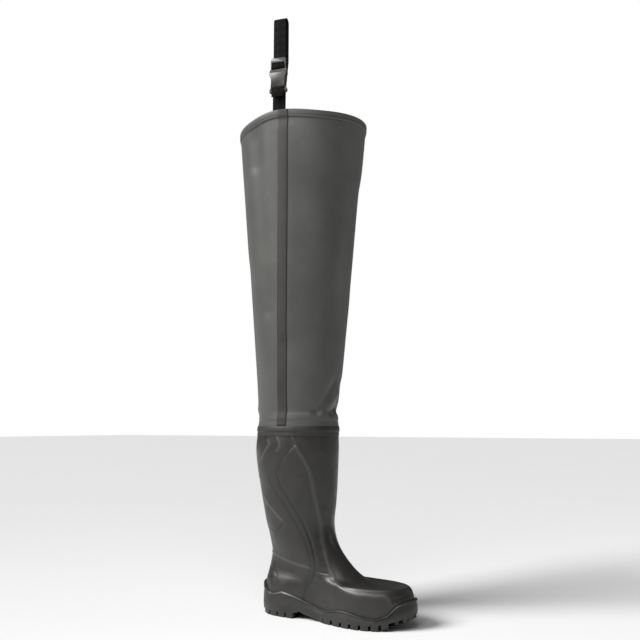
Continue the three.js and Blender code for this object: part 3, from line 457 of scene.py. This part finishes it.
def ovalRing(count, centre, depth, width, turn, heightAt):
    bearing = 360 * np.arange(count) / count
    angle = np.radians(bearing + turn)
    x, y = np.cos(angle) * depth / 2, -np.sin(angle) * width / 2
    t = math.radians(turn)
    flat = np.stack([centre + x * math.cos(t) - y * math.sin(t), x * math.sin(t) + y * math.cos(t)], axis=1)
    return level(flat, heightAt(bearing, np.cos(angle)))


def footRing(section):
    front, frontUp, back, backUp, half, roundness, hug, lift = section
    count = boot["around"]
    plan = curveThrough(solePlan, np.arange(count) * len(solePlan) / count, True)
    angle = 2 * np.pi * np.arange(count) / count
    u = plan[:, 0] * (1 - roundness) + (1 + np.cos(angle)) / 2 * roundness
    v = 2 * plan[:, 1] * (1 - roundness) - np.sin(angle) * roundness
    x = boot["footLength"] * (back + (front - back) * u)
    line = boot["instepHeight"] * (backUp + (frontUp - backUp) * u + lift * 4 * u * (1 - u))
    floorAt, floorUp = zip(*insideFloor)
    low = boot["lug"] * np.interp(x / boot["footLength"], floorAt, floorUp) + boot["clearance"]
    low = low + boot["instepHeight"] * (frontUp - footSections[0][1])
    return level(np.stack([x, v * half * boot["ballWidth"]], axis=1), line * (1 - hug) + low * hug)


def shaftRing(section):
    up, centre, depth, width = section
    height = boot["instepHeight"] + (boot["height"] - boot["instepHeight"]) * up
    return ovalRing(boot["around"], centre * boot["footLength"], depth * boot["shaftDepth"],
                    width * boot["shaftWidth"], 0, lambda bearing, share: height + 0 * bearing)


# lines of the moulded relief, from the side
reliefLines = [
    {"kind": "crest", "high": 0.9, "wide": 2.6, "line": [(94, 326)] + panelFront},
    {"kind": "groove", "high": -1.5, "wide": 1.7, "line": [(100, 310)] + panelBack[::-1] + [(107, 35)]},
    {"kind": "groove", "high": -0.7, "wide": 1.7, "line": [(91, 325), (100, 310)]},
    {"kind": "groove", "high": -0.6, "wide": 1.8, "line": [
        (43, 251), (48, 237), (58, 224), (70, 207), (82, 191), (91, 175), (100, 159), (108, 143), (114, 127),
        (119, 112), (121, 96), (117, 79), (111, 63), (106, 47), (102, 35)]},
    {"kind": "crest", "high": 1.1, "wide": 2.0, "line": [(16, 218), (29, 206), (42, 194), (55, 183), (70, 170)]},
    {"kind": "groove", "high": -0.8, "wide": 1.8, "line": [(70, 170), (63, 161), (48, 151), (32, 157), (18, 163)]},
    {"kind": "crest", "high": 0.9, "wide": 2.2, "line": [
        (21, 109), (36, 107), (54, 102), (73, 98), (92, 94), (109, 93), (120, 90)]},
    {"kind": "groove", "high": -0.5, "wide": 1.7, "line": [(15, 86), (25, 81), (39, 76), (44, 71), (42, 65),
                                                           (28, 67), (14, 69)]},
    {"kind": "crest", "high": 0.7, "wide": 1.8, "line": [(64, 324), (70, 314), (72, 307), (65, 299)]},
    {"kind": "crest", "high": 0.6, "wide": 2.0, "line": [(42, 318), (48, 310), (38, 301), (22, 282)]},
    {"kind": "groove", "high": -0.7, "wide": 1.8, "line": [
        (132, 86), (142, 85), (152, 84)]},
    {"kind": "groove", "high": -1.0, "wide": 1.8, "line": [(276, 50), (286, 53), (296, 57)]},
    {"kind": "groove", "high": -0.7, "wide": 1.4, "line": [(275, 50), (280, 41)]},
]


def buildUpper():
    table = np.stack([footRing(s) for s in footSections] + [shaftRing(s) for s in shaftSections])
    at = np.concatenate([k + np.arange(n) / n for k, n in enumerate(boot["steps"])] + [[len(table) - 1]])
    outer = curveThrough(table, at, False)
    normal = outward(outer)
    x, z = outer[..., 0], outer[..., 2]
    sideways = smoothStep(np.abs(normal[..., 1]), 0.1, 0.45)
    edge = distanceTo(panelOutline + panelOutline[:1], x, z)
    edge = np.where(insideOutline(panelOutline, x, z), edge, -edge)
    height = boot["panelStep"] * smoothStep(edge, -1.2, 1.2) * (np.abs(outer[..., 1]) > boot["ballWidth"] / 9)
    # crest and groove masks, stored on the upper for its material's painted highlight and painted shade
    marks = {"crest": np.zeros(x.shape), "groove": np.zeros(x.shape)}
    for relief in reliefLines:
        near = np.exp(-(distanceTo(relief["line"], x, z) / relief["wide"]) ** 2) * sideways
        height = height + relief["high"] * near
        marks[relief["kind"]] = np.maximum(marks[relief["kind"]], near)
    shaped = outer + normal * height[..., None]
    # over the rim, then down the inside with a third of the rows
    rim = shaped[-1]
    rimOut = outwardLevel(shaped[-1:])[0]
    lip = []
    for share in (0.2, 0.5, 0.8):
        lip.append(rim - rimOut * boot["wall"] * share)
    inner = (outer - normal * boot["wall"])[::-3]
    inner[0] = rim - rimOut * boot["wall"]
    inner[-1, :, 2] = outer[0, :, 2]
    rows = np.concatenate([shaped, np.stack(lip), inner])
    blank = np.zeros((len(rows) - len(shaped), boot["around"]))
    marks = {name: np.concatenate([values, blank]) for name, values in marks.items()}
    piece = gridPiece("moulded_upper", rows, True, marks)
    settle(piece, "upper", bootSkin)
    return outer


upperRows = buildUpper()
print("upper shaped")


# leg: coated fabric, bonded over the boot's top, folded at the collar
leg = {
    "collarHeight": 929, "collarDepth": 253, "collarWidth": 212, "collarTurn": 28, "collarCentre": 78.8,
    "collarTilt": 9, "collarRise": 10, "riseSpread": 30, "wall": 1.2, "hem": 14, "hemStep": 1.3,
    "overlap": 21, "around": 216, "strapBearing": math.degrees(math.atan2(106, 88 - 78.8)),
}
# share of the way up, growth from boot to collar, shift along the foot
legSections = [
    (0, 0, 0), (0.012, 0.0, 0), (0.028, -0.02, -2.5), (0.06, 0.035, -1.2), (0.14, 0.135, 0),
    (0.3, 0.297, 0), (0.5, 0.5, 0), (0.72, 0.715, 0), (0.88, 0.88, 0), (1, 1, 0),
]
# troughs and ridges of the hanging fabric: from and to as bearing in degrees (0 toe, 90 outer side)
# and height, width across in millimetres, depth in (minus) or out
legFolds = [
    # along the side tape: a shallow valley behind it and a crest in front
    {"from": (108, 915), "to": (103, 560), "wide": 15, "deep": -3.0},
    {"from": (104, 930), "to": (112, 840), "wide": 12, "deep": -2.2},
    {"from": (74, 900), "to": (78, 520), "wide": 14, "deep": 1.6},
    # gathers where the fabric is drawn in over the boot
    {"from": (36, 368), "to": (6, 424), "wide": 8, "deep": -3.4},
    {"from": (24, 366), "to": (-6, 404), "wide": 7, "deep": 2.0},
    {"from": (-20, 380), "to": (12, 366), "wide": 6, "deep": -2.2},
    {"from": (334, 420), "to": (352, 376), "wide": 10, "deep": -3.0},
    {"from": (200, 400), "to": (160, 370), "wide": 9, "deep": -2.4},
    {"from": (178, 392), "to": (150, 374), "wide": 7, "deep": 1.4},
    {"from": (232, 420), "to": (262, 372), "wide": 9, "deep": -2.6},
    {"from": (250, 400), "to": (280, 366), "wide": 7, "deep": 1.6},
    # long soft waves down the rest of the leg
    {"from": (58, 780), "to": (50, 520), "wide": 34, "deep": -1.6},
    {"from": (24, 720), "to": (32, 480), "wide": 26, "deep": 1.6},
    {"from": (140, 640), "to": (132, 430), "wide": 30, "deep": -2.0},
    {"from": (250, 890), "to": (240, 640), "wide": 36, "deep": -4.0},
    {"from": (300, 870), "to": (296, 560), "wide": 30, "deep": 3.0},
    {"from": (210, 570), "to": (226, 420), "wide": 24, "deep": -3.0},
    {"from": (330, 800), "to": (318, 620), "wide": 26, "deep": -2.4},
]


def collarUp(bearing, share):
    rise = np.exp(-((bearing - leg["strapBearing"]) / leg["riseSpread"]) ** 2)
    return leg["collarHeight"] + leg["collarTilt"] * share + leg["collarRise"] * rise


def foldHeight(bearing, z):
    total = np.zeros(np.shape(z))
    for fold in legFolds:
        radius = 1.5  # millimetres of fabric for each degree, roughly
        centre = (fold["from"][0] + fold["to"][0]) / 2
        turned = (bearing - centre + 180) % 360 - 180
        line = [((fold["from"][0] - centre) * radius, fold["from"][1]),
                ((fold["to"][0] - centre) * radius, fold["to"][1])]
        total += fold["deep"] * np.exp(-(distanceTo(line, turned * radius, z) / fold["wide"]) ** 2)
    return total


def ringAtHeight(rows, z, out):
    heights = rows[..., 2]
    above = np.argmax(heights >= z, axis=0)
    columns = np.arange(rows.shape[1])
    a, b = rows[above - 1, columns], rows[above, columns]
    share = ((z - a[:, 2]) / (b[:, 2] - a[:, 2]))[:, None]
    ring = a + (b - a) * share
    return ring + outwardLevel(ring[None])[0] * out


def legSurface(ups):  # outer skin from the boot's top (0) to the collar (1), with its folds
    count = leg["around"]
    start = ringAtHeight(upperRows, boot["height"] - 0.01, boot["clearance"] + leg["wall"])
    collar = ovalRing(count, leg["collarCentre"], leg["collarDepth"], leg["collarWidth"], leg["collarTurn"], collarUp)
    at = np.linspace(0, len(legSections) - 1, 400)
    smooth = curveThrough(np.array(legSections) * [10, 1, 0.1], at, False) * [0.1, 1, 10]
    bearing = np.broadcast_to(360 * np.arange(count) / count, (len(ups), count))
    grow = np.interp(ups, smooth[:, 0], smooth[:, 1])[:, None]
    move = np.interp(ups, smooth[:, 0], smooth[:, 2])[:, None]
    x = start[:, 0] + (collar[:, 0] - start[:, 0]) * grow + move
    y = start[:, 1] + (collar[:, 1] - start[:, 1]) * grow
    z = boot["height"] + (collar[:, 2] - boot["height"]) * np.asarray(ups)[:, None]
    rows = np.stack([x, y, z], axis=2)
    fade = (smoothStep(np.asarray(ups), 0, 0.02) * (1 - 0.8 * smoothStep(np.asarray(ups), 0.93, 1)))[:, None]
    edge = 0.7 * np.exp(-((z - boot["height"] - 1.5) / 2.2) ** 2)  # the boot's rim shows through
    return rows + outwardLevel(rows) * (foldHeight(bearing, z) * fade + edge)[..., None]


def legSkinAt(ups, out):
    rows = legSurface(ups)
    return rows + outwardLevel(rows) * np.reshape(out, (-1, 1, 1))


legSpan = leg["collarHeight"] - boot["height"]
hemUp = 1 - leg["hem"] / legSpan


def buildLeg():
    cuffZ = boot["height"] - leg["overlap"]
    cuff = np.stack([ringAtHeight(upperRows, z, boot["clearance"] + leg["wall"])
                     for z in np.linspace(cuffZ, boot["height"] - 1, 8)])
    ups = np.concatenate([np.linspace(0.0, 0.12, 30)[:-1], np.linspace(0.12, hemUp - 0.002, 130)])
    skin = legSkinAt(ups, np.zeros(len(ups)))
    hemUps = np.array([hemUp, hemUp + 0.0006, hemUp + 0.003, 0.985, 0.99, 0.995, 0.9988, 1.0, 1.0, 1.0])
    hemOut = np.array([0.5, 1.15, 1.3, 1.3, 1.35, 1.35, 1.2, 0.7, 0.0, -0.7])
    hem = legSkinAt(hemUps, hemOut)
    hem[-3:-1, :, 2] += np.array([0.25, 0.3])[:, None]
    insideUps = np.concatenate([[0.9985], np.linspace(0.994, 0.0, 60)])
    inside = legSkinAt(insideUps, np.full(len(insideUps), -leg["wall"]))
    lining = np.stack([ringAtHeight(upperRows, z, boot["clearance"])
                       for z in np.linspace(boot["height"] - 1, cuffZ, 5)])
    rows = np.concatenate([cuff, skin, hem, inside, lining])
    across = np.linspace(0, 0.55, leg["around"])
    cloth = np.stack([np.broadcast_to(across, rows.shape[:2]), rows[..., 2] * mm], axis=2)
    piece = gridPiece("fabric_leg", rows, True, None, cloth)
    settle(piece, "leg", legSkin)


buildLeg()
print("leg shaped")


# tapes welded over the joints
tape = {"thick": 0.7, "seamWide": 18, "sideWide": 19, "sideTop": 98, "sideBottom": 74}


def buildSeamTape():
    edge = boot["height"] - leg["overlap"]
    over = leg["wall"] + 2 * boot["clearance"]
    thick, gap = tape["thick"], boot["clearance"]
    half = tape["seamWide"] / 2
    profile = [
        (edge - half, gap + 0.1), (edge - half, gap + thick * 0.7), (edge - half + 0.8, gap + thick),
        (edge - 4, gap + thick), (edge - 1.6, gap + thick), (edge - 0.4, gap + thick + 0.9),
        (edge + 0.6, over + thick - 0.1), (edge + 2, over + thick), (edge + half - 0.8, over + thick),
        (edge + half, over + thick * 0.6), (edge + half, over), (edge - 0.3, over), (edge - 0.7, gap + 0.1),
    ]
    bearing = 360 * np.arange(boot["around"]) / boot["around"]
    under = smoothStep(bearing, 78, 80) * (1 - smoothStep(bearing, 92, 94))  # the side tape's end below it
    lap = smoothStep(bearing, 66, 66.8) * (1 - smoothStep(bearing, 77, 80))  # and its own end laid over
    rows = []
    for z, out in profile:
        upper = smoothStep(z, edge - 1, edge + 1) if out > over + 0.1 else 0.0
        rows.append(ringAtHeight(upperRows, z, 0) + outwardLevel(ringAtHeight(upperRows, z, 0)[None])[0]
                    * (out + 0.5 * under * upper + 0.45 * lap * (out > gap + 0.2))[:, None])
    rows = np.stack(rows)
    piece = gridPiece("joint_tape", rows, True)
    settle(piece, "seam_tape", tapeSkin)


def buildSideTape():
    low = boot["height"] - leg["overlap"] + tape["seamWide"] / 2 + boot["clearance"]
    cuffUps = np.array([low, low + 5, low + 10])
    ups = np.concatenate([np.linspace(0.0012, hemUp - 0.004, 120),
                          [hemUp - 0.001, hemUp + 0.001, hemUp + 0.004, 0.99, 0.996, 0.9985]])
    step = np.concatenate([np.zeros(120), [0.6, 1.2, 1.3, 1.35, 1.35, 1.3]])
    cuff = [ringAtHeight(upperRows, z, boot["clearance"] + leg["wall"]) for z in cuffUps]
    skin = np.concatenate([np.stack(cuff), legSkinAt(ups, step)])
    ups = np.concatenate([(cuffUps - boot["height"]) / legSpan, ups])
    count = 11
    half = leg["around"] // 2
    rows = []
    for row, up in zip(skin, ups):
        outer = row[:half + 1][::-1]
        middle = tape["sideBottom"] + (tape["sideTop"] - tape["sideBottom"]) * up
        xs = middle + np.linspace(-0.5, 0.5, count) * tape["sideWide"]
        ys = np.interp(xs, outer[:, 0], outer[:, 1])
        zs = np.interp(xs, outer[:, 0], outer[:, 2])
        slope = np.gradient(ys, xs)
        normal = np.stack([slope, -np.ones(count), np.zeros(count)], axis=1)
        normal /= np.linalg.norm(normal, axis=1, keepdims=True)
        rise = np.full(count, boot["clearance"] + tape["thick"])
        rise[[0, -1]] -= 0.25
        face = np.stack([xs, ys, zs], axis=1)
        rows.append(np.concatenate([face + normal * rise[:, None], (face + normal * boot["clearance"] * 0.5)[::-1]]))
    rows = np.stack(rows)
    piece = gridPiece("side_seam_tape", rows, False)
    # close both ends
    deselectAll()
    piece.select_set(True)
    bpy.context.view_layer.objects.active = piece
    bpy.ops.object.mode_set(mode="EDIT")
    bpy.ops.mesh.select_all(action="SELECT")
    bpy.ops.mesh.region_to_loop()
    bpy.ops.mesh.edge_face_add()
    bpy.ops.mesh.select_all(action="SELECT")
    bpy.ops.mesh.normals_make_consistent(inside=False)
    bpy.ops.object.mode_set(mode="OBJECT")
    settle(piece, "side_tape", tapeSkin)


buildSeamTape()
buildSideTape()
print("tapes laid")


# hem stitching: two rows of one stitch, copied
stitch = {"long": 3.2, "wide": 0.9, "pitch": 4.5, "rows": (9, 15)}


def buildStitches():
    random.seed(7)
    bpy.ops.mesh.primitive_cube_add(size=1)
    pattern = bpy.context.object
    bpy.ops.object.mode_set(mode="EDIT")
    bpy.ops.transform.resize(value=(stitch["long"], stitch["wide"], stitch["wide"] * 0.7))
    bpy.ops.mesh.bevel(offset=0.28, segments=1)
    bpy.ops.object.mode_set(mode="OBJECT")
    shape = np.array([v.co[:] for v in pattern.data.vertices])
    faces = [list(p.vertices) for p in pattern.data.polygons]
    bpy.data.objects.remove(pattern)
    points, allFaces = [], []
    for below in stitch["rows"]:
        up = 1 - below / legSpan
        out = leg["hemStep"] if below < leg["hem"] else 0
        ring = legSkinAt(np.array([up]), np.array([out + 0.1]))[0]
        loop = np.concatenate([ring, ring[:1]])
        steps = np.linalg.norm(np.diff(loop, axis=0), axis=1)
        total = steps.sum()
        at = np.concatenate([[0], np.cumsum(steps)])
        count = int(total / stitch["pitch"])
        for i in range(count):
            mid = (i + 0.5) * total / count
            here = np.array([np.interp(mid, at, loop[:, k]) for k in range(3)])
            ahead = np.array([np.interp((mid + 1) % total, at, loop[:, k]) for k in range(3)])
            along = (ahead - here) / np.linalg.norm(ahead - here)
            side = np.array([-along[1], along[0], 0]) / np.linalg.norm(along[:2])
            upward = np.cross(along, side)
            tilt = random.uniform(-0.06, 0.06)
            along, upward = along + upward * tilt, upward - along * tilt
            base = len(points)
            points.extend(here + shape[:, :1] * along + shape[:, 1:2] * upward + shape[:, 2:] * side)
            allFaces.extend([[base + v for v in face] for face in faces])
    mesh = bpy.data.meshes.new("hem_stitching")
    mesh.from_pydata(((np.array(points) + toPart) * mm).tolist(), [], allFaces)
    mesh.update()
    piece = bpy.data.objects.new("hem_stitching", mesh)
    bpy.context.collection.objects.link(piece)
    deselectAll()
    piece.select_set(True)
    bpy.context.view_layer.objects.active = piece
    bpy.ops.object.mode_set(mode="EDIT")
    bpy.ops.mesh.select_all(action="SELECT")
    bpy.ops.mesh.normals_make_consistent(inside=False)
    bpy.ops.object.mode_set(mode="OBJECT")
    settle(piece, None, threadSkin)


buildStitches()
print("hem stitched")


# sole, insert, insole, straps and buckle: the part's own solids with softened edges
softEdges = {
    "outsole": {"name": "moulded_outsole", "slot": "outsole", "skin": soleSkin, "edge": 0.7, "angle": 30},
    "sole_insert": {"name": "red_insert", "slot": "sole_insert", "skin": insertSkin, "edge": 0.35, "angle": 30},
    "insole": {"name": "felt_insole", "slot": "insole", "skin": insoleSkin, "edge": 0.8, "angle": 40},
    "strap_short": {"name": "short_webbing", "slot": "webbing", "skin": webbingSkin, "edge": 0.4, "angle": 50},
    "strap_long": {"name": "long_webbing", "slot": "webbing", "skin": webbingSkin, "edge": 0.4, "angle": 50},
    "buckle_socket": {"name": "buckle_socket_shell", "slot": "buckle", "skin": buckleSkin, "edge": 0.7, "angle": 30},
    "buckle_tongue": {"name": "buckle_tongue_frame", "slot": "buckle", "skin": buckleSkin, "edge": 0.6, "angle": 30},
}


def softCopy(node, look):
    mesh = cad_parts[node].data.copy()
    piece = bpy.data.objects.new(look["name"], mesh)
    bpy.context.collection.objects.link(piece)
    deselectAll()
    piece.select_set(True)
    bpy.context.view_layer.objects.active = piece
    bpy.ops.object.mode_set(mode="EDIT")
    bpy.ops.mesh.select_all(action="SELECT")
    bpy.ops.mesh.remove_doubles(threshold=0.00001)
    bpy.ops.mesh.dissolve_limited(angle_limit=math.radians(1))
    bpy.ops.object.mode_set(mode="OBJECT")
    bevel = piece.modifiers.new("edge", "BEVEL")
    bevel.width = look["edge"] * mm
    bevel.segments = 2
    bevel.limit_method = "ANGLE"
    bevel.angle_limit = math.radians(look["angle"])
    bevel.use_clamp_overlap = True
    bpy.ops.object.modifier_apply(modifier=bevel.name)
    bpy.ops.object.shade_smooth_by_angle(angle=math.radians(look["angle"]))
    settle(piece, node, look["skin"])


for node, look in softEdges.items():
    softCopy(node, look)
print("sole, straps and buckle finished")
